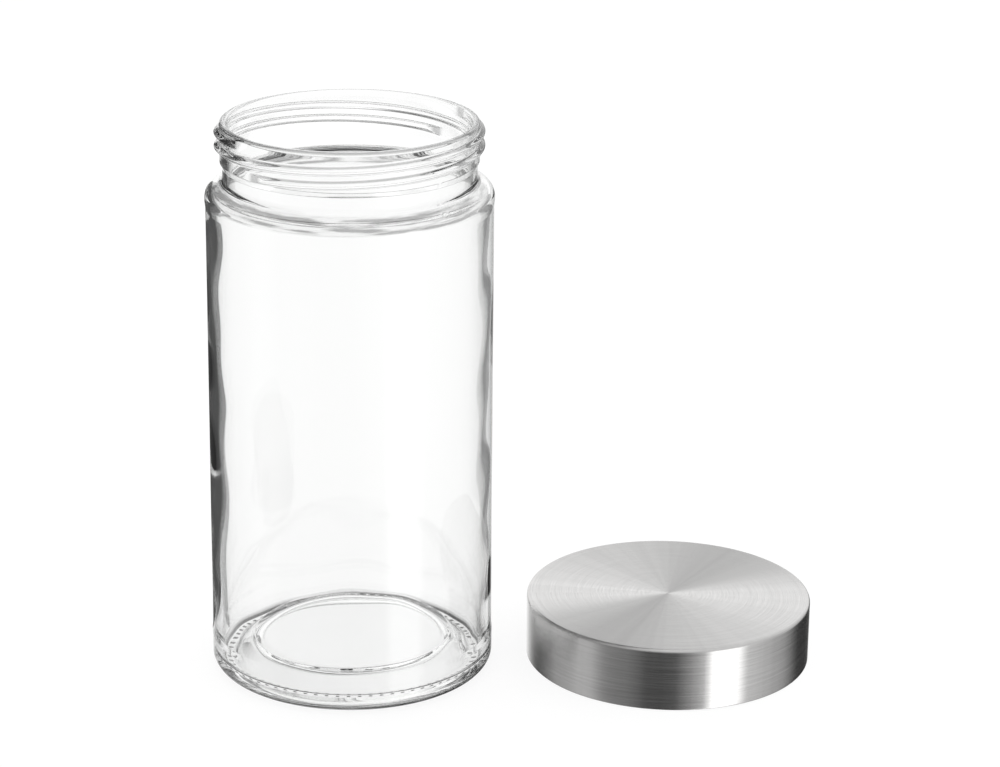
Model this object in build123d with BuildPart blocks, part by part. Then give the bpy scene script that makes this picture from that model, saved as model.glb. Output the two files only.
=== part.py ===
from build123d import *
import math
import os

# Lidded glass canister: a glass jar with a two-start screw neck and a steel-clad
# screw lid, the lid lying right way up on the table beside the jar.
# Millimetres. Z is up, the origin is the centre of the jar's base on the table.

# ---------------------------------------------------------------- jar
body_r = 52.3            # label panel, the long plain wall, at its top
body_low_r = 52.6        # and at its foot: the wall widens a hair downwards
band_r = 52.6            # shoulder band, 0.3 proud of the panel
heel_band_r = 52.9       # heel band, 0.3 proud of the panel
jar_h = 210.0            # table to lip
inner_r = 49.3           # inside of the wall
floor_z = 12.0           # inside floor, the raised disc in the middle
disc_r = 36.8            # edge of the raised disc
valley_z = 0.6           # where the floor's slope would meet the wall
floor_fillet = 3.5       # the hollow between that slope and the wall
heel_r = 5.5             # outside heel radius
panel_low = 13.0         # the label panel runs from here
panel_high = 178.6       # to here
panel_ramp = 2.4         # length of each step into the panel

bearing_in_r = 42.8      # inner edge of the flat bearing ring
push_r = 34.5            # raised centre of the underside
push_z = 7.2             # how far it is raised

shoulder_slope = 24.0    # degrees from level
shoulder_r = 6.0         # shoulder rounding
root_r = 2.5             # hollow where the neck meets the shoulder
notch_r = 46.2           # undercut between neck and shoulder
notch_top_drop = 16.4    # lip to the top of the undercut
notch_drop = 22.0        # lip to the foot of the undercut

neck_r = 47.0            # thread root
mouth_r = 44.2           # inside of the neck
lip_out_fillet = 1.4
lip_in_fillet = 1.2

# ---------------------------------------------------------------- screw thread
starts = 2
pitch = 5.08             # ridge to ridge
lead = starts * pitch    # rise in one turn
ridge_h = 1.8            # height of a glass ridge
ridge_base = 1.7         # half of its width at the root
ridge_top_drop = 2.8     # lip to the middle of a ridge where it begins
ridge_angle = 38.0       # where the first ridge begins, seen from above
ridge_turns = 1.0

# ---------------------------------------------------------------- grip ticks under the base
tick_count = 72
tick_r0 = 45.6
tick_r1 = 48.8
tick_w = 1.1
tick_d = 0.4

# ---------------------------------------------------------------- lid
lid_x = 119.8
lid_y = 6.1
lid_r = 53.7
lid_h = 24.0
steel = 0.6
top_edge_r = 1.2
hem_in = 1.1             # inward fold at the bottom of the steel
hem_h = 1.0

liner_gap = 0.05         # assembly clearance, liner to steel
liner_r = lid_r - steel - liner_gap
liner_bottom = hem_h + 0.05
liner_top = lid_h - steel
liner_plate = 1.8
liner_wall_r = 49.4      # root of the internal thread
liner_crest_r = 47.3     # crest of the internal thread
groove_d = 0.9           # seal groove in the ceiling
seal_in_r = 43.4
seal_out_r = 47.9
seal_t = 1.6
seal_gap = 0.3

os.makedirs("parts", exist_ok=True)

tan_s = math.tan(math.radians(shoulder_slope))
sin_s = math.sin(math.radians(shoulder_slope))
cos_s = math.cos(math.radians(shoulder_slope))
notch_z = jar_h - notch_drop
notch_top_z = jar_h - notch_top_drop
shoulder_corner_z = notch_z - (band_r - notch_r) * tan_s
glass_t = 3.4
in_line_r = notch_r - glass_t * sin_s
in_line_z = notch_z - glass_t * cos_s
in_corner_z = in_line_z - (inner_r - in_line_r) * tan_s
in_neck_z = in_line_z - (mouth_r - in_line_r) * tan_s


def near(sketch, r, z):
    """Profile corner closest to a given radius and height."""
    return sketch.vertices().sort_by(
        lambda v: (v.X - r) ** 2 + (v.Y - z) ** 2)[0]


# ================================================================ glass ridge
z_low = jar_h - ridge_top_drop - lead * ridge_turns
over = 1.5                               # degrees run past each end, buried
with BuildPart() as ridge:
    with BuildLine() as ridge_path:
        Helix(pitch=lead, height=lead * (ridge_turns + 2 * over / 360.0), radius=neck_r,
              center=(0, 0, z_low - lead * over / 360.0))
    with BuildSketch(Plane(origin=ridge_path.line @ 0, x_dir=(1, 0, 0),
                           z_dir=ridge_path.line % 0)):
        with BuildLine():
            Polyline((1.30, -0.80), (0, -ridge_base), (-1.3, -ridge_base - 0.2),
                     (-1.3, ridge_base + 0.2), (0, ridge_base), (1.30, 0.80))
            ThreePointArc((1.30, 0.80), (ridge_h, 0), (1.30, -0.80))
        make_face()
    sweep(path=ridge_path.line, is_frenet=True)
    # both ends fade out into the neck on a flat tangent to the root
    for z_end in (z_low, z_low + lead * ridge_turns):
        with Locations((neck_r - 0.05, 0, z_end)):
            Box(6, 30, 2 * ridge_base + 1.4, align=(Align.MIN, Align.CENTER, Align.CENTER),
                mode=Mode.SUBTRACT)

# ================================================================ jar body
with BuildPart() as jar_body:
    with BuildSketch(Plane.XZ) as jar_profile:
        with BuildLine():
            Polyline(
                (0, floor_z),
                (disc_r, floor_z),
                (inner_r, valley_z),
                (inner_r, in_corner_z),
                (mouth_r, in_neck_z),
                (mouth_r, jar_h),
                (neck_r, jar_h),
                (neck_r, notch_top_z + 2.1),
                (notch_r, notch_top_z),
                (notch_r, notch_z),
                (band_r, shoulder_corner_z),
                (band_r, panel_high + panel_ramp),
                (body_r, panel_high),
                (body_low_r, panel_low + panel_ramp),
                (heel_band_r, panel_low),
                (heel_band_r, 0),
                (bearing_in_r, 0),
                (push_r, push_z),
                (0, push_z),
                close=True)
        make_face()
        fillet(near(jar_profile, disc_r, floor_z), 2.0)
        fillet(near(jar_profile, inner_r, valley_z), floor_fillet)
        fillet(near(jar_profile, inner_r, in_corner_z), 1.8)
        fillet(near(jar_profile, mouth_r, in_neck_z), 1.3)
        fillet(near(jar_profile, mouth_r, jar_h), lip_in_fillet)
        fillet(near(jar_profile, neck_r, jar_h), lip_out_fillet)
        fillet(near(jar_profile, neck_r, notch_top_z + 2.1), 1.5)
        fillet(near(jar_profile, notch_r, notch_top_z), 0.8)
        fillet(near(jar_profile, notch_r, notch_z), root_r)
        # the shoulder is one large rounding down into its band
        fillet(near(jar_profile, band_r, shoulder_corner_z), shoulder_r)
        fillet(near(jar_profile, heel_band_r, 0), heel_r)
        fillet(near(jar_profile, bearing_in_r, 0), 1.0)
        fillet(near(jar_profile, push_r, push_z), 7.0)
    revolve(axis=Axis.Z)
    with PolarLocations(0, starts, start_angle=ridge_angle):
        add(ridge.part)
    # short radial grip ticks pressed into the bearing ring
    with PolarLocations((tick_r0 + tick_r1) / 2, tick_count):
        Box(tick_r1 - tick_r0, tick_w, 2 * tick_d, mode=Mode.SUBTRACT)
jar_body.part.label = "jar_body"

# ================================================================ lid, steel shell
lid_at = Location((lid_x, lid_y, 0))
with BuildPart() as lid_shell:
    with BuildSketch(Plane.XZ) as shell_profile:
        with BuildLine():
            Polyline(
                (0, lid_h),
                (lid_r, lid_h),
                (lid_r, 0),
                (lid_r - hem_in, 0),
                (lid_r - hem_in, hem_h),
                (lid_r - steel, hem_h),
                (lid_r - steel, lid_h - steel),
                (0, lid_h - steel),
                close=True)
        make_face()
        fillet(near(shell_profile, lid_r, lid_h), top_edge_r)
        fillet(near(shell_profile, lid_r - steel, lid_h - steel), top_edge_r - steel)
        fillet(near(shell_profile, lid_r, 0), 0.45)
        fillet(near(shell_profile, lid_r - hem_in, 0), 0.4)
        fillet(near(shell_profile, lid_r - hem_in, hem_h), 0.4)
    revolve(axis=Axis.Z)
lid_shell.part = lid_shell.part.moved(lid_at)
lid_shell.part.label = "lid_shell"

# ================================================================ lid, thread liner
groove_z = liner_top - liner_plate + groove_d
liner_ridge_h = liner_wall_r - liner_crest_r
l_low = 5.4                              # middle of a ridge at its lower end
with BuildPart() as liner_ridge:
    with BuildLine() as liner_path:
        Helix(pitch=lead, height=lead * (ridge_turns + 2 * over / 360.0), radius=liner_wall_r,
              center=(0, 0, l_low - lead * over / 360.0))
    with BuildSketch(Plane(origin=liner_path.line @ 0, x_dir=(1, 0, 0),
                           z_dir=liner_path.line % 0)):
        with BuildLine():
            Polyline((0.9, -2.34), (-liner_ridge_h + 0.35, -0.60),
                     (-liner_ridge_h, -0.28), (-liner_ridge_h, 0.28),
                     (-liner_ridge_h + 0.35, 0.60), (0.9, 2.34), close=True)
        make_face()
    sweep(path=liner_path.line, is_frenet=True)
    # each end runs out in a scoop
    for z_end in (l_low, l_low + lead * ridge_turns):
        with Locations((liner_wall_r - 11.2, 0, z_end)):
            Cylinder(12.0, 5.4, mode=Mode.SUBTRACT)

with BuildPart() as lid_thread_liner:
    with BuildSketch(Plane.XZ) as liner_profile:
        with BuildLine():
            Polyline(
                (0, liner_top),
                (liner_r, liner_top),
                (liner_r, liner_bottom),
                (liner_wall_r, liner_bottom),
                (liner_wall_r, liner_top - liner_plate),
                (seal_out_r + seal_gap, liner_top - liner_plate),
                (seal_out_r + seal_gap, groove_z),
                (seal_in_r - seal_gap, groove_z),
                (seal_in_r - seal_gap, liner_top - liner_plate),
                (0, liner_top - liner_plate),
                close=True)
        make_face()
        fillet(near(liner_profile, liner_r, liner_top), 0.9)
        fillet(near(liner_profile, liner_wall_r, liner_bottom), 0.8)
        fillet(near(liner_profile, liner_wall_r, liner_top - liner_plate), 0.6)
    revolve(axis=Axis.Z)
    with PolarLocations(0, starts):
        add(liner_ridge.part)
lid_thread_liner.part = lid_thread_liner.part.moved(lid_at)
lid_thread_liner.part.label = "lid_thread_liner"

# ================================================================ lid, sealing ring
with BuildPart() as lid_seal:
    with BuildSketch(Plane.XZ) as seal_profile:
        with BuildLine():
            Polyline(
                (seal_in_r, groove_z),
                (seal_out_r, groove_z),
                (seal_out_r, groove_z - seal_t),
                (seal_in_r, groove_z - seal_t),
                close=True)
        make_face()
        fillet(near(seal_profile, seal_out_r, groove_z - seal_t), 0.35)
        fillet(near(seal_profile, seal_in_r, groove_z - seal_t), 0.35)
    revolve(axis=Axis.Z)
lid_seal.part = lid_seal.part.moved(lid_at)
lid_seal.part.label = "lid_seal"

for piece in (jar_body, lid_shell, lid_thread_liner, lid_seal):
    solids = piece.part.solids()
    box = piece.part.bounding_box()
    print(piece.part.label, "solids", len(solids), "valid", piece.part.is_valid,
          "volume", round(piece.part.volume, 1),
          "box", [round(v, 2) for v in (*box.min, *box.max)])
    export_step(piece.part, "parts/" + piece.part.label + ".step")
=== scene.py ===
import math

import bpy
import numpy as np
from mathutils import Matrix, Vector


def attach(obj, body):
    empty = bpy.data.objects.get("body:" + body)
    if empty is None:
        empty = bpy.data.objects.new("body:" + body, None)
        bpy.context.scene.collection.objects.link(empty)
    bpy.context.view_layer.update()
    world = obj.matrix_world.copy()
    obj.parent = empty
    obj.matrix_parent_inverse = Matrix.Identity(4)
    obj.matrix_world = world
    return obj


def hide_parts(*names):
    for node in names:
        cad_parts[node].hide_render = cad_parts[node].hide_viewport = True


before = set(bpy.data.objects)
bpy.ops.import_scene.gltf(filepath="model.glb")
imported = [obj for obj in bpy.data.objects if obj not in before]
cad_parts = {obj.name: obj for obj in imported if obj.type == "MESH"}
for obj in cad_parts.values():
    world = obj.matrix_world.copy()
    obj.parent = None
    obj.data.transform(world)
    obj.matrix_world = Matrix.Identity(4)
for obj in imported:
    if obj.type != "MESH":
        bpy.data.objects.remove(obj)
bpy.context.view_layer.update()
scene = bpy.context.scene

# ---------------------------------------------------------------- sizes, the same as the CAD part's (mm)
MM = 0.001
JAR_H = 210.0
BODY_R, BODY_LOW_R, BAND_R, HEEL_BAND_R = 52.3, 52.6, 52.6, 52.9
INNER_R, FLOOR_Z, DISC_R, VALLEY_Z, FLOOR_FILLET = 49.3, 12.0, 36.8, 0.6, 3.5
HEEL_R, PANEL_LOW, PANEL_HIGH, RAMP = 5.5, 13.0, 178.6, 2.4
BEAR_IN, PUSH_R, PUSH_Z = 42.8, 34.5, 7.2
SLOPE, SHOULDER_R, ROOT_R = math.radians(24.0), 6.0, 2.5
NOTCH_R, NOTCH_TOP, NOTCH_Z = 46.2, 210.0 - 16.4, 210.0 - 22.0
NECK_R, MOUTH_R = 47.0, 44.2
LIP_OUT, LIP_IN = 1.4, 1.2
PITCH, LEAD, RIDGE_H = 5.08, 10.16, 1.8
TOP_DROP, START_A = 2.8, 38.0
TICKS, TICK_R0, TICK_R1, TICK_D = 72, 45.6, 48.8, 0.8
SEAM_A = -46.0
LID_X, LID_Y, LID_R, LID_H = 119.8, 6.1, 53.7, 24.0
STEEL, EDGE_R, HEM_IN, HEM_H = 0.6, 1.2, 1.1, 1.0
LIP_GAP = 0.05           # the visual model stays this far inside the CAD model's box


# ---------------------------------------------------------------- lathe profiles
def rounded(corners, arc_step=0.16, line_step=2.0):
    """A polyline of (r, z, fillet radius) with its corners rounded, sampled finely."""
    pts = [np.array(c[:2], float) for c in corners]
    rad = [c[2] if len(c) > 2 else 0.0 for c in corners]
    segs = []
    last = pts[0]
    for i in range(1, len(pts) - 1):
        a, b, c = pts[i - 1], pts[i], pts[i + 1]
        if rad[i] <= 0:
            segs.append(("line", last, b))
            last = b
            continue
        u = (a - b) / np.linalg.norm(a - b)
        v = (c - b) / np.linalg.norm(c - b)
        half = math.acos(max(-1.0, min(1.0, float(u @ v)))) / 2
        t = rad[i] / math.tan(half)
        p, q = b + u * t, b + v * t
        centre = b + (u + v) / np.linalg.norm(u + v) * (rad[i] / math.sin(half))
        segs.append(("line", last, p))
        segs.append(("arc", p, q, centre, rad[i]))
        last = q
    segs.append(("line", last, pts[-1]))
    out = [segs[0][1]]
    for s in segs:
        if s[0] == "line":
            d = np.linalg.norm(s[2] - s[1])
            if d < 1e-6:
                continue
            n = max(1, int(math.ceil(d / line_step)))
            out += [s[1] + (s[2] - s[1]) * k / n for k in range(1, n + 1)]
        else:
            _, p, q, c, r = s
            a0 = math.atan2(*(p - c)[::-1])
            a1 = math.atan2(*(q - c)[::-1])
            d = (a1 - a0 + math.pi) % (2 * math.pi) - math.pi
            n = max(4, int(math.ceil(abs(d) * r / max(arc_step, r * 0.06))))
            out += [c + r * np.array([math.cos(a0 + d * k / n), math.sin(a0 + d * k / n)])
                    for k in range(1, n + 1)]
    return np.array(out)


def dense(profile, where, step):
    """Adds points along the stretch of a profile whose midpoints satisfy where(r, z)."""
    out = [profile[0]]
    for a, b in zip(profile[:-1], profile[1:]):
        m = (a + b) / 2
        d = np.linalg.norm(b - a)
        if where(m[0], m[1]) and d > step:
            n = int(math.ceil(d / step))
            out += [a + (b - a) * k / n for k in range(1, n + 1)]
        else:
            out.append(b)
    return np.array(out)


def lathe(name, profile, segments, centre=(0.0, 0.0), closed=False, shape=None):
    """A closed turned mesh. The profile runs (r, z) in mm; ends at r = 0 become poles.
    shape(R, Z, A) may move the grid: it gives new radii and heights."""
    ang = np.linspace(0, 2 * math.pi, segments, endpoint=False)
    poles = []
    body = profile
    if not closed:
        if profile[0][0] < 1e-6:
            poles.append(("first", profile[0]))
            body = body[1:]
        if profile[-1][0] < 1e-6:
            poles.append(("last", profile[-1]))
            body = body[:-1]
    R = np.repeat(body[:, 0][:, None], segments, 1)
    Z = np.repeat(body[:, 1][:, None], segments, 1)
    A = np.repeat(ang[None, :], len(body), 0)
    if shape is not None:
        R, Z = shape(R, Z, A)
    X = centre[0] + R * np.cos(A)
    Y = centre[1] + R * np.sin(A)
    verts = np.stack([X, Y, Z], -1).reshape(-1, 3) * MM
    rows = len(body)
    i = np.arange(rows - (0 if closed else 1))
    j = np.arange(segments)
    I, J = np.meshgrid(i, j, indexing="ij")
    I2, J2 = (I + 1) % rows, (J + 1) % segments
    quads = np.stack([I * segments + J, I * segments + J2, I2 * segments + J2, I2 * segments + J], -1).reshape(-1, 4)
    verts = [tuple(v) for v in verts]
    faces = [tuple(int(x) for x in q) for q in quads]
    for which, p in poles:
        verts.append((centre[0] * MM, centre[1] * MM, p[1] * MM))
        n = len(verts) - 1
        base = 0 if which == "first" else (rows - 1) * segments
        for k in range(segments):
            a, b = base + k, base + (k + 1) % segments
            faces.append((n, b, a) if which == "first" else (n, a, b))
    me = bpy.data.meshes.new(name)
    me.from_pydata(verts, [], faces)
    me.validate()
    me.polygons.foreach_set("use_smooth", [True] * len(me.polygons))
    me.update()
    # outward faces
    import bmesh
    bm = bmesh.new()
    bm.from_mesh(me)
    bmesh.ops.recalc_face_normals(bm, faces=bm.faces)
    bm.to_mesh(me)
    bm.free()
    ob = bpy.data.objects.new(name, me)
    scene.collection.objects.link(ob)
    return ob


# ---------------------------------------------------------------- the glass jar
tan_s, sin_s, cos_s = math.tan(SLOPE), math.sin(SLOPE), math.cos(SLOPE)
corner_z = NOTCH_Z - (BAND_R - NOTCH_R) * tan_s
in_r0, in_z0 = NOTCH_R - 3.4 * sin_s, NOTCH_Z - 3.4 * cos_s
in_corner_z = in_z0 - (INNER_R - in_r0) * tan_s
in_neck_z = in_z0 - (MOUTH_R - in_r0) * tan_s
TOP = JAR_H - LIP_GAP

outer = rounded([
    (0, PUSH_Z),
    (PUSH_R, PUSH_Z, 7.0),
    (BEAR_IN, 0, 1.0),
    (HEEL_BAND_R - LIP_GAP, 0, HEEL_R),
    (HEEL_BAND_R - LIP_GAP, PANEL_LOW, 3.0),
    (BODY_LOW_R, PANEL_LOW + RAMP, 3.0),
    (BODY_R, PANEL_HIGH, 3.0),
    (BAND_R - LIP_GAP, PANEL_HIGH + RAMP, 1.0),
    (BAND_R - LIP_GAP, corner_z, SHOULDER_R - 0.6),
    (NOTCH_R, NOTCH_Z, ROOT_R),
    (NOTCH_R, NOTCH_TOP, 0.8),
    (NECK_R, NOTCH_TOP + 2.1, 1.5),
    (NECK_R, TOP, LIP_OUT),
    (MOUTH_R, TOP, LIP_IN),
    (MOUTH_R, in_neck_z, 1.3),
    (INNER_R, in_corner_z, 1.8),
    (INNER_R, VALLEY_Z, FLOOR_FILLET),
    (DISC_R, FLOOR_Z, 0.9),
    (0, FLOOR_Z),
])
outer = dense(outer, lambda r, z: r > NOTCH_R - 0.3 and NOTCH_TOP + 0.6 < z < TOP - 1.0, 0.2)
outer = dense(outer, lambda r, z: 33.0 < r < 42.0 and FLOOR_Z - 4.5 < z < FLOOR_Z + 0.5, 0.4)
outer = dense(outer, lambda r, z: TICK_R0 - 0.8 < r < TICK_R1 + 0.8 and z < 1.0, 0.25)


def ridge(d):
    """Height of a glass ridge at a distance d along the axis from its middle."""
    d = np.abs(d)
    return np.where(d < 1.85, RIDGE_H * np.cos(math.pi * np.minimum(d, 1.85) / 3.7) ** 1.7, 0.0)


def jar_shape(R, Z, A):
    deg = np.degrees(A)
    R2, Z2 = R.copy(), Z.copy()
    on_neck = (R > NOTCH_R - 0.2) & (R < NECK_R + 0.2) & (Z > NOTCH_TOP + 0.3) & (Z < TOP - 0.2)
    best = np.zeros_like(R)
    for k in range(2):
        turn = ((START_A + 180.0 * k - deg) % 360.0) / 360.0
        zc = JAR_H - TOP_DROP - LEAD * turn
        # the ends fade on a flat tangent to the root, as the CAD part's do
        for t, z_end in ((turn, 0.0), (turn - 1.0, 1.0)):
            near_end = np.minimum(np.abs(turn - z_end), 1.0) * 2 * math.pi
            limit = np.where(near_end < 0.6, (NECK_R - 0.05) / np.cos(np.minimum(near_end, 0.6)) - NECK_R, 9.0)
            if z_end == 0.0:
                lim0 = limit
            else:
                lim1 = limit
        h = np.minimum(ridge(Z - zc), np.maximum(np.minimum(lim0, lim1), 0.0))
        best = np.maximum(best, h)
    R2 = np.where(on_neck, R2 + best, R2)
    # faint waviness of blown glass, inside and out, never beyond the bands
    body_out = (R > BODY_R - 0.2) & (Z > 8) & (Z < 183)
    body_in = (np.abs(R - INNER_R) < 0.3) & (Z > 20) & (Z < 182)
    fade = np.clip((Z - 8) / 20, 0, 1) * np.clip((186 - Z) / 14, 0, 1)
    w_out = (0.035 * np.sin(3 * A + 0.045 * Z + 0.7) + 0.025 * np.sin(5 * A - 0.071 * Z + 2.1)
             + 0.016 * np.sin(9 * A + 0.11 * Z + 4.0) - 0.05)
    w_in = (0.10 * np.sin(2 * A + 0.052 * Z + 1.2) + 0.075 * np.sin(4 * A - 0.083 * Z + 0.4)
            + 0.05 * np.sin(7 * A + 0.13 * Z + 3.3) + 0.03 * np.sin(11 * A - 0.19 * Z + 5.1)
            + 0.035 * np.sin(0.21 * Z + 2 * np.sin(2 * A)))
    R2 = np.where(body_out, R2 + w_out * fade, R2)
    R2 = np.where(body_in, R2 + w_in * fade, R2)
    # mould seam, a hair raised, on the shoulder and under the thread
    seam = np.minimum(np.abs((deg - SEAM_A + 180) % 360 - 180), np.abs((deg - SEAM_A - 180 + 180) % 360 - 180))
    line = np.clip(1 - seam * 0.9, 0, 1) * 0.10
    on_seam = (R > NOTCH_R - 0.3) & (R < BAND_R - 0.3) & (Z > NOTCH_Z - 6) & (Z < NOTCH_TOP + 2)
    R2 = np.where(on_seam, R2 + line, R2)
    # the raised disc of the floor isn't quite round or level
    on_floor = (R < INNER_R - 3.0) & (Z > 3.0) & (Z < FLOOR_Z + 0.5) & (R > 20.0)
    swing = 0.22 * np.sin(2 * A + 0.5) + 0.16 * np.sin(3 * A + 2.0) + 0.10 * np.sin(7 * A + 1.0)
    R2 = np.where(on_floor & (R > 30.0), R2 + swing * np.clip((R - 30.0) / 6.0, 0, 1), R2)
    # grip ticks pressed up into the bearing ring
    on_ring = (Z < 0.9) & (R > TICK_R0 - 0.5) & (R < TICK_R1 + 0.6)
    along = np.clip((R - TICK_R0 + 0.3) / 0.6, 0, 1) * np.clip((TICK_R1 + 0.3 - R) / 0.6, 0, 1)
    step = 2 * math.pi / TICKS
    off = np.abs((A + step / 2) % step - step / 2) * R
    across = np.where(off < 0.85, np.cos(math.pi * np.minimum(off, 0.85) / 1.7) ** 2, 0.0)
    Z2 = np.where(on_ring, Z2 + TICK_D * along * across, Z2)
    return R2, Z2


jar = lathe("jar_glass", outer, 720, shape=jar_shape)
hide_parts("jar_body")
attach(jar, "jar")

# ---------------------------------------------------------------- the steel cap
g = LIP_GAP
cap = rounded([
    (0, LID_H - g),
    (LID_R - g, LID_H - g, EDGE_R),
    (LID_R - g, g, 0.45),
    (LID_R - HEM_IN, g, 0.4),
    (LID_R - HEM_IN, HEM_H, 0.4),
    (LID_R - STEEL, HEM_H, 0.12),
    (LID_R - STEEL, LID_H - STEEL, 0.6),
    (0, LID_H - STEEL),
], arc_step=0.1, line_step=1.5)
shell = lathe("lid_cap", cap, 512, centre=(LID_X, LID_Y))
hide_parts("lid_shell")
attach(shell, "lid")


# ---------------------------------------------------------------- materials
def new_mat(name):
    m = bpy.data.materials.new(name)
    m.use_nodes = True
    nt = m.node_tree
    nt.nodes.clear()
    out = nt.nodes.new("ShaderNodeOutputMaterial")
    b = nt.nodes.new("ShaderNodeBsdfPrincipled")
    nt.links.new(b.outputs["BSDF"], out.inputs["Surface"])
    return m, nt, b


def node(nt, kind, **kw):
    n = nt.nodes.new(kind)
    for k, v in kw.items():
        setattr(n, k, v)
    return n


def ramp(nt, stops, src):
    r = nt.nodes.new("ShaderNodeValToRGB")
    e = r.color_ramp.elements
    while len(e) > 1:
        e.remove(e[-1])
    e[0].position, e[0].color = stops[0][0], (*stops[0][1], 1)
    for p, c in stops[1:]:
        x = e.new(p)
        x.color = (*c, 1)
    nt.links.new(src, r.inputs["Fac"])
    return r


# clear glass: a faint tint face-on, and painted shade that deepens where the wall is seen edge-on, standing in for
# the dark studio seen in the glass's edges; with a faint ripple
glass, nt, b = new_mat("clear_glass")
b.inputs["Transmission Weight"].default_value = 1.0
b.inputs["Roughness"].default_value = 0.0
b.inputs["IOR"].default_value = 1.5
lw = node(nt, "ShaderNodeLayerWeight")
lw.inputs["Blend"].default_value = 0.5
tint_and_painted_edge_shade = ramp(nt, [(0.0, (0.99, 0.992, 0.99)), (0.55, (0.97, 0.972, 0.97)), (0.74, (0.84, 0.845, 0.84)),
                 (0.88, (0.50, 0.505, 0.50)), (0.97, (0.28, 0.285, 0.28))], lw.outputs["Facing"])


def gm(op, a, b=None, clamp=False):
    """A math node of the glass material."""
    n = node(nt, "ShaderNodeMath", operation=op, use_clamp=clamp)
    for i, v in enumerate((a, b)):
        if v is None:
            continue
        if isinstance(v, (int, float)):
            n.inputs[i].default_value = v
        else:
            nt.links.new(v, n.inputs[i])
    return n.outputs[0]


def gate(v, lo, hi):
    """0 at lo, 1 at hi, straight between and flat beyond."""
    n = node(nt, "ShaderNodeMapRange")
    n.inputs["From Min"].default_value = lo
    n.inputs["From Max"].default_value = hi
    nt.links.new(v, n.inputs["Value"])
    return n.outputs["Result"]


# painted shade: the knurled ticks under the base are darkened, standing in for the shaded floor seen through them,
# and a thin band at the foot of the thick heel is darkened as a painted contact shadow
tc = node(nt, "ShaderNodeTexCoord")
gs = node(nt, "ShaderNodeSeparateXYZ")
nt.links.new(tc.outputs["Object"], gs.inputs[0])
gr = gm("SQRT", gm("ADD", gm("MULTIPLY", gs.outputs["X"], gs.outputs["X"]),
                   gm("MULTIPLY", gs.outputs["Y"], gs.outputs["Y"])))
turn = gm("MULTIPLY", gm("ARCTAN2", gs.outputs["Y"], gs.outputs["X"]), TICKS / (2 * math.pi))
off_mid = gm("ABSOLUTE", gm("SUBTRACT", gm("FRACT", gm("ADD", turn, 100.5)), 0.5))
painted_tick_shade = gm("MULTIPLY", gate(off_mid, 0.19, 0.12), gate(gs.outputs["Z"], 0.0018, 0.0014))
painted_tick_shade = gm("MULTIPLY", painted_tick_shade, gm("MULTIPLY", gate(gr, (TICK_R0 - 0.2) * MM, (TICK_R0 + 0.2) * MM),
                                     gate(gr, (TICK_R1 + 0.2) * MM, (TICK_R1 - 0.2) * MM)))
painted_heel_shadow = gm("MULTIPLY", gate(gs.outputs["Z"], 0.0048, 0.0022), gate(gr, 0.0500, 0.0506))
# painted shade too: a streaky dark ring under the shoulder, and dark lines on the flanks of the thread and round the
# rim, standing in for dark reflections in the glass
sn = node(nt, "ShaderNodeTexNoise")
sn.inputs["Scale"].default_value = 1.0
sn.inputs["Detail"].default_value = 2.0
sv = node(nt, "ShaderNodeCombineXYZ")
nt.links.new(gm("MULTIPLY", gm("ARCTAN2", gs.outputs["Y"], gs.outputs["X"]), 2.6), sv.inputs["X"])
nt.links.new(gm("MULTIPLY", gs.outputs["Z"], 900.0), sv.inputs["Y"])
nt.links.new(sv.outputs[0], sn.inputs["Vector"])
streak = gate(sn.outputs["Fac"], 0.42, 0.58)
painted_shoulder_shade = gm("MULTIPLY", gm("MULTIPLY", gate(gs.outputs["Z"], 0.1806, 0.1814), gate(gs.outputs["Z"], 0.1853, 0.1842)),
           gate(gr, 0.0499, 0.0496))
painted_shoulder_shade = gm("MULTIPLY", painted_shoulder_shade, gm("ADD", 0.15, gm("MULTIPLY", streak, 0.65)))
painted_flank_shade = gm("MULTIPLY", gm("MULTIPLY", gate(gr, 0.04712, 0.04735), gate(gr, 0.0483, 0.0479)),
              gate(gs.outputs["Z"], 0.1915, 0.1922))
painted_rim_shade = gm("MULTIPLY", gate(gs.outputs["Z"], 0.2088, 0.2094), gate(gr, 0.0458, 0.0462))
edges = gm("MAXIMUM", painted_shoulder_shade, gm("MAXIMUM", gm("MULTIPLY", painted_flank_shade, 0.62), gm("MULTIPLY", painted_rim_shade, 0.72)))
# the painted shade of ticks, heel, shoulder ring, thread flanks and rim scales down the glass's base colour
painted_shade_factor = gm("SUBTRACT", gm("SUBTRACT", 1.0, gm("MULTIPLY", painted_tick_shade, 0.96)),
          gm("MAXIMUM", edges, gm("MULTIPLY", painted_heel_shadow, 0.985)), True)
shade = node(nt, "ShaderNodeVectorMath", operation="SCALE")
nt.links.new(tint_and_painted_edge_shade.outputs["Color"], shade.inputs[0])
nt.links.new(painted_shade_factor, shade.inputs["Scale"])
nt.links.new(shade.outputs[0], b.inputs["Base Color"])
ns = node(nt, "ShaderNodeTexNoise")
ns.inputs["Scale"].default_value = 28.0
ns.inputs["Detail"].default_value = 1.0
nt.links.new(tc.outputs["Object"], ns.inputs["Vector"])
bp = node(nt, "ShaderNodeBump")
bp.inputs["Strength"].default_value = 0.25
bp.inputs["Distance"].default_value = 0.0006
nt.links.new(ns.outputs["Fac"], bp.inputs["Height"])
nt.links.new(bp.outputs["Normal"], b.inputs["Normal"])
jar.data.materials.append(glass)

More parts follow.
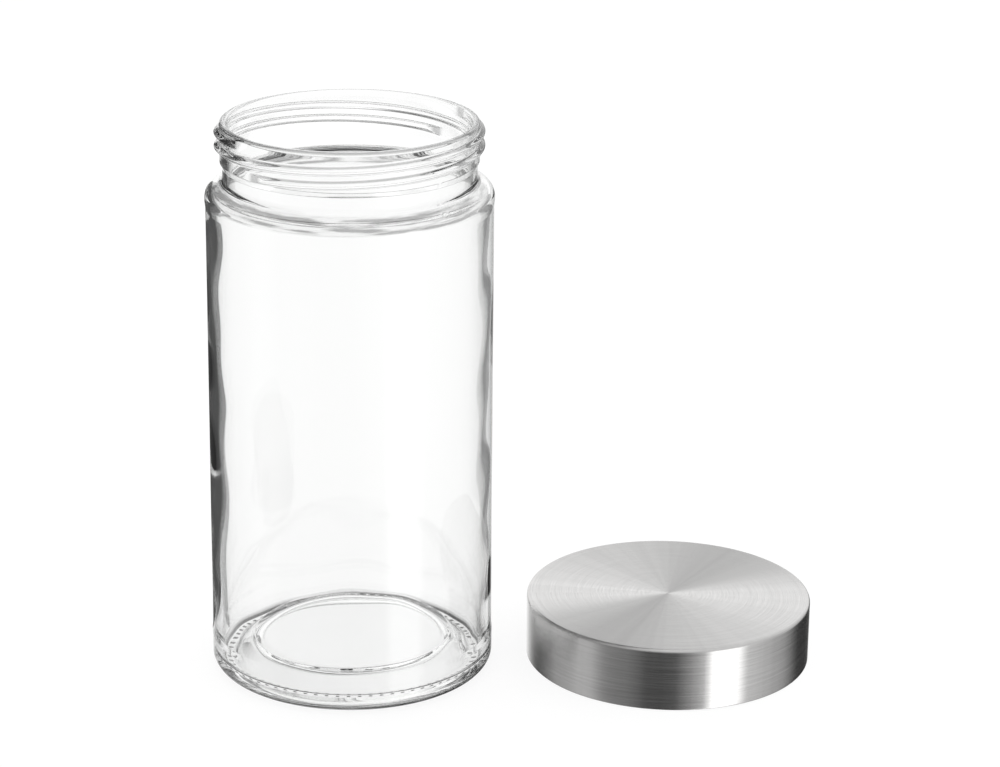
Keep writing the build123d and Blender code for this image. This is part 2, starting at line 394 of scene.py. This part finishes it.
# brushed stainless steel: rings on the top, fine lines round the skirt
steel, nt, b = new_mat("brushed_steel")
b.inputs["Metallic"].default_value = 1.0
b.inputs["Anisotropic"].default_value = 1.0
b.inputs["Anisotropic Rotation"].default_value = 0.25
tg = node(nt, "ShaderNodeTangent", direction_type="RADIAL", axis="Z")
nt.links.new(tg.outputs["Tangent"], b.inputs["Tangent"])
tc = node(nt, "ShaderNodeTexCoord")
off = node(nt, "ShaderNodeVectorMath", operation="SUBTRACT")
off.inputs[1].default_value = (LID_X * MM, LID_Y * MM, 0)
nt.links.new(tc.outputs["Object"], off.inputs[0])
sp = node(nt, "ShaderNodeSeparateXYZ")
nt.links.new(off.outputs["Vector"], sp.inputs[0])
cx = node(nt, "ShaderNodeCombineXYZ")
nt.links.new(sp.outputs["X"], cx.inputs["X"])
nt.links.new(sp.outputs["Y"], cx.inputs["Y"])
ln = node(nt, "ShaderNodeVectorMath", operation="LENGTH")
nt.links.new(cx.outputs[0], ln.inputs[0])
at = node(nt, "ShaderNodeMath", operation="ARCTAN2")
nt.links.new(sp.outputs["Y"], at.inputs[0])
nt.links.new(sp.outputs["X"], at.inputs[1])
# streak coordinates: radius and height run fast, the angle runs slowly
sc_r = node(nt, "ShaderNodeMath", operation="MULTIPLY")
sc_r.inputs[1].default_value = 4200.0
nt.links.new(ln.outputs["Value"], sc_r.inputs[0])
sc_z = node(nt, "ShaderNodeMath", operation="MULTIPLY")
sc_z.inputs[1].default_value = 4200.0
nt.links.new(sp.outputs["Z"], sc_z.inputs[0])
sc_a = node(nt, "ShaderNodeMath", operation="MULTIPLY")
sc_a.inputs[1].default_value = 2.2
nt.links.new(at.outputs[0], sc_a.inputs[0])
cv = node(nt, "ShaderNodeCombineXYZ")
nt.links.new(sc_r.outputs[0], cv.inputs["X"])
nt.links.new(sc_a.outputs[0], cv.inputs["Y"])
nt.links.new(sc_z.outputs[0], cv.inputs["Z"])
st = node(nt, "ShaderNodeTexNoise")
st.inputs["Scale"].default_value = 1.0
st.inputs["Detail"].default_value = 3.0
nt.links.new(cv.outputs[0], st.inputs["Vector"])
col = ramp(nt, [(0.25, (0.55, 0.545, 0.54)), (0.75, (0.70, 0.695, 0.69))], st.outputs["Fac"])
# the pressure of the brush varied round the turn, which leaves faint rays
nl = node(nt, "ShaderNodeVectorMath", operation="NORMALIZE")
nt.links.new(cx.outputs[0], nl.inputs[0])
ry = node(nt, "ShaderNodeTexNoise")
ry.inputs["Scale"].default_value = 7.0
ry.inputs["Detail"].default_value = 4.0
ry.inputs["Roughness"].default_value = 0.7
nt.links.new(nl.outputs["Vector"], ry.inputs["Vector"])
rm = node(nt, "ShaderNodeMapRange")
rm.inputs["From Min"].default_value = 0.35
rm.inputs["From Max"].default_value = 0.65
rm.inputs["To Min"].default_value = 0.95
rm.inputs["To Max"].default_value = 1.02
nt.links.new(ry.outputs["Fac"], rm.inputs["Value"])
rs = node(nt, "ShaderNodeVectorMath", operation="SCALE")
nt.links.new(col.outputs["Color"], rs.inputs[0])
nt.links.new(rm.outputs["Result"], rs.inputs["Scale"])
nt.links.new(rs.outputs[0], b.inputs["Base Color"])
mr = node(nt, "ShaderNodeMapRange")
mr.inputs["To Min"].default_value = 0.17
mr.inputs["To Max"].default_value = 0.30
nt.links.new(st.outputs["Fac"], mr.inputs["Value"])
nt.links.new(mr.outputs["Result"], b.inputs["Roughness"])
bp = node(nt, "ShaderNodeBump")
bp.inputs["Strength"].default_value = 0.10
bp.inputs["Distance"].default_value = 0.00005
nt.links.new(st.outputs["Fac"], bp.inputs["Height"])
nt.links.new(bp.outputs["Normal"], b.inputs["Normal"])
shell.data.materials.append(steel)

# moulded liner plastic
plastic, nt, b = new_mat("white_plastic")
tc = node(nt, "ShaderNodeTexCoord")
ns = node(nt, "ShaderNodeTexNoise")
ns.inputs["Scale"].default_value = 900.0
ns.inputs["Detail"].default_value = 2.0
nt.links.new(tc.outputs["Object"], ns.inputs["Vector"])
col = ramp(nt, [(0.3, (0.70, 0.70, 0.68)), (0.7, (0.76, 0.76, 0.74))], ns.outputs["Fac"])
nt.links.new(col.outputs["Color"], b.inputs["Base Color"])
mr = node(nt, "ShaderNodeMapRange")
mr.inputs["To Min"].default_value = 0.32
mr.inputs["To Max"].default_value = 0.45
nt.links.new(ns.outputs["Fac"], mr.inputs["Value"])
nt.links.new(mr.outputs["Result"], b.inputs["Roughness"])
bp = node(nt, "ShaderNodeBump")
bp.inputs["Strength"].default_value = 0.15
bp.inputs["Distance"].default_value = 0.0001
nt.links.new(ns.outputs["Fac"], bp.inputs["Height"])
nt.links.new(bp.outputs["Normal"], b.inputs["Normal"])

# soft sealing ring
rubber, nt, b = new_mat("soft_seal")
b.inputs["Subsurface Weight"].default_value = 0.15
b.inputs["Subsurface Scale"].default_value = 0.002
tc = node(nt, "ShaderNodeTexCoord")
ns = node(nt, "ShaderNodeTexNoise")
ns.inputs["Scale"].default_value = 1400.0
ns.inputs["Detail"].default_value = 3.0
nt.links.new(tc.outputs["Object"], ns.inputs["Vector"])
col = ramp(nt, [(0.3, (0.56, 0.57, 0.56)), (0.7, (0.62, 0.63, 0.62))], ns.outputs["Fac"])
nt.links.new(col.outputs["Color"], b.inputs["Base Color"])
mr = node(nt, "ShaderNodeMapRange")
mr.inputs["To Min"].default_value = 0.55
mr.inputs["To Max"].default_value = 0.75
nt.links.new(ns.outputs["Fac"], mr.inputs["Value"])
nt.links.new(mr.outputs["Result"], b.inputs["Roughness"])

for name, mat in (("lid_thread_liner", plastic), ("lid_seal", rubber), ("jar_body", glass), ("lid_shell", steel)):
    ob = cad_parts[name]
    ob.data.materials.clear()
    ob.data.materials.append(mat)

# ---------------------------------------------------------------- stage
def sheet(name, pts):
    me = bpy.data.meshes.new(name)
    me.from_pydata(pts, [], [(0, 1, 2, 3)])
    ob = bpy.data.objects.new(name, me)
    scene.collection.objects.link(ob)
    return ob


floor = sheet("floor", [(-6, -6, -0.0002), (6, -6, -0.0002), (6, 6, -0.0002), (-6, 6, -0.0002)])
fm = bpy.data.materials.new("pale_floor")
fm.use_nodes = True
nt = fm.node_tree
nt.nodes.clear()
o = nt.nodes.new("ShaderNodeOutputMaterial")
em = nt.nodes.new("ShaderNodeEmission")
em.inputs["Color"].default_value = (1, 1, 1, 1)
em.inputs["Strength"].default_value = 0.88
df = nt.nodes.new("ShaderNodeBsdfDiffuse")
df.inputs["Color"].default_value = (0.16, 0.16, 0.16, 1)
ad = nt.nodes.new("ShaderNodeAddShader")
nt.links.new(em.outputs[0], ad.inputs[0])
nt.links.new(df.outputs[0], ad.inputs[1])
nt.links.new(ad.outputs[0], o.inputs["Surface"])
floor.data.materials.append(fm)

floor.visible_glossy = False      # polished and brushed faces see the studio walls instead

# one-sided black flags behind the jar, as used to draw the edges of glassware.
# Only light that has come through the glass meets them.
def flag(name, start, away, length, z0, z1, glossy, grey):
    """A vertical sheet from start along the direction away; its dark face looks to the front."""
    ex, ey = start[0] + length * math.cos(away), start[1] + length * math.sin(away)
    ob = sheet(name, [(ex * MM, ey * MM, z0 * MM), (start[0] * MM, start[1] * MM, z0 * MM),
                      (start[0] * MM, start[1] * MM, z1 * MM), (ex * MM, ey * MM, z1 * MM)])
    ob.visible_camera = False
    ob.visible_diffuse = False
    ob.visible_glossy = glossy
    ob.visible_shadow = False
    m = bpy.data.materials.new(name + "_cloth")
    m.use_nodes = True
    t = m.node_tree
    t.nodes.clear()
    o = t.nodes.new("ShaderNodeOutputMaterial")
    ge = t.nodes.new("ShaderNodeNewGeometry")
    tr = t.nodes.new("ShaderNodeBsdfTransparent")
    em = t.nodes.new("ShaderNodeEmission")
    em.inputs["Color"].default_value = (grey, grey, grey, 1)
    mx = t.nodes.new("ShaderNodeMixShader")
    t.links.new(ge.outputs["Backfacing"], mx.inputs[0])
    t.links.new(em.outputs[0], mx.inputs[1])
    t.links.new(tr.outputs[0], mx.inputs[2])
    t.links.new(mx.outputs[0], o.inputs["Surface"])
    ob.data.materials.append(m)
    return ob


flag("flag_left", (-55.7, 23.4), math.radians(150.0), 200.0, 0.5, 230.0, True, 0.085)
# the right one is drawn from its far end, so that its dark face looks to the front too
R0, RA, RL = (76.0, 50.0), math.radians(30.0), 150.0
flag("flag_right", (R0[0] + RL * math.cos(RA), R0[1] + RL * math.sin(RA)), RA + math.pi, RL, 0.5, 230.0, False, 0.35)

world = bpy.data.worlds.new("studio")
scene.world = world
world.use_nodes = True
nt = world.node_tree
nt.nodes.clear()
o = nt.nodes.new("ShaderNodeOutputWorld")


def world_ramp(stops, src):
    """A ramp of greys, given as (position, linear grey)."""
    r = nt.nodes.new("ShaderNodeValToRGB")
    e = r.color_ramp.elements
    while len(e) > 1:
        e.remove(e[-1])
    e[0].position, e[0].color = stops[0][0], (stops[0][1],) * 3 + (1,)
    for p, c in stops[1:]:
        x = e.new(p)
        x.color = (c,) * 3 + (1,)
    nt.links.new(src, r.inputs["Fac"])
    return r.outputs["Color"]


def wmath(op, a, b=None):
    n = nt.nodes.new("ShaderNodeMath")
    n.operation = op
    for i, v in enumerate((a, b)):
        if v is None:
            continue
        if isinstance(v, (int, float)):
            n.inputs[i].default_value = v
        else:
            nt.links.new(v, n.inputs[i])
    return n.outputs[0]


def wmix(fac, a, b):
    n = nt.nodes.new("ShaderNodeMix")
    n.data_type = "RGBA"
    nt.links.new(fac, n.inputs["Factor"])
    for name, v in (("A", a), ("B", b)):
        socket = [i for i in n.inputs if i.name == name and i.type == "RGBA"][0]
        if isinstance(v, float):
            socket.default_value = (v, v, v, 1)
        else:
            nt.links.new(v, socket)
    return [o for o in n.outputs if o.type == "RGBA"][0]


tc = nt.nodes.new("ShaderNodeTexCoord")
sp = nt.nodes.new("ShaderNodeSeparateXYZ")
nt.links.new(tc.outputs["Generated"], sp.inputs[0])
az = wmath("DIVIDE", wmath("ARCTAN2", sp.outputs["Y"], sp.outputs["X"]), 2 * math.pi)
az = wmath("FRACT", wmath("ADD", az, 1.0))                  # 0 at +X, 0.25 behind, 0.5 at -X
el = wmath("DIVIDE", wmath("ARCSINE", sp.outputs["Z"]), math.pi)
el = wmath("ADD", el, 0.5)                                  # 0 straight down, 0.5 level, 1 straight up

# the studio walls as the steel sees them: soft boxes and gaps, by compass direction
WALL = [(10, .54), (22, .30), (34, .02), (58, .01), (70, .05), (82, .80), (94, 1.40), (106, 1.20), (118, .62),
        (130, .10), (142, .13), (154, .32), (166, .52), (178, .54), (190, .74), (202, .68), (214, .28), (226, .25),
        (238, .17), (250, .05), (262, .04), (274, .05), (286, .30), (298, .58), (305, 2.2), (326, 2.2), (333, .84),
        (346, .74), (358, .62)]
low = world_ramp([(d / 360.0, v / 3.0) for d, v in WALL], az)
# their upper part: a soft box behind, and a dark left side
MID = [(0, .70), (45, .80), (60, 1.15), (125, 1.15), (140, .40), (200, .30), (260, .45), (300, .9), (350, .75)]
mid = world_ramp([(d / 360.0, v / 3.0) for d, v in MID], az)
# and the ceiling: bright over the right half, dark over the left, white straight above
HIGH = [(0, .85), (40, .92), (72, .92), (86, .55), (96, .15), (150, .12), (185, .20), (205, .60), (270, .85),
        (330, .88)]
high = world_ramp([(d / 360.0, v / 3.0) for d, v in HIGH], az)
b_mid = world_ramp([(0.5 - 6 / 180, 0.0), (0.5 + 6 / 180, 1.0)], el)
b_high = world_ramp([(0.5 + 26 / 180, 0.0), (0.5 + 36 / 180, 1.0)], el)
b_top = world_ramp([(0.5 + 72 / 180, 0.0), (0.5 + 82 / 180, 1.0)], el)
steel_sees = wmix(b_top, wmix(b_high, wmix(b_mid, low, mid), high), 1.15 / 3.0)
# light that has come through the glass sees white near the level and a dark ceiling
through = world_ramp([(0.5 + 24 / 180, 1.0 / 3.0), (0.5 + 29 / 180, 0.03 / 3.0), (0.5 + 52 / 180, 0.03 / 3.0),
                      (0.5 + 62 / 180, 0.9 / 3.0), (1.0, 1.0 / 3.0)], el)
lp = nt.nodes.new("ShaderNodeLightPath")
c = wmix(lp.outputs["Is Transmission Ray"], 1.0 / 3.0, through)
c = wmix(lp.outputs["Is Glossy Ray"], c, steel_sees)
bg = nt.nodes.new("ShaderNodeBackground")
nt.links.new(c, bg.inputs["Color"])
bg.inputs["Strength"].default_value = 3.0
nt.links.new(bg.outputs[0], o.inputs["Surface"])

# ---------------------------------------------------------------- camera
Xc, L, HC, PITCHDEG, F_PX, CX, ROLL = 36.53, 1090.18, 489.3, 19.19, 3128.2, 450.0, -0.3
p = math.radians(PITCHDEG)
rr = math.radians(ROLL)
Fv = Vector((0, math.cos(p), -math.sin(p)))
Uv = Vector((0, math.sin(p), math.cos(p)))
Rv = Vector((1, 0, 0))
Rr = Rv * math.cos(rr) - Uv * math.sin(rr)
Ur = Rv * math.sin(rr) + Uv * math.cos(rr)
cam_data = bpy.data.cameras.new("camera")
cam = bpy.data.objects.new("camera", cam_data)
scene.collection.objects.link(cam)
cam.matrix_world = Matrix((
    (Rr.x, Ur.x, -Fv.x, Xc * MM),
    (Rr.y, Ur.y, -Fv.y, -L * MM),
    (Rr.z, Ur.z, -Fv.z, HC * MM),
    (0, 0, 0, 1)))
cam_data.sensor_width = 36.0
cam_data.lens = F_PX * 36.0 / 1000.0
cam_data.shift_x = (500.0 - CX) / 1000.0
cam_data.clip_start = 0.01
cam_data.clip_end = 50
scene.camera = cam

# ---------------------------------------------------------------- light paths and tone
scene.view_settings.view_transform = "Standard"
scene.cycles.max_bounces = 40
scene.cycles.transmission_bounces = 32
scene.cycles.glossy_bounces = 16
scene.cycles.caustics_refractive = True
scene.cycles.caustics_reflective = True
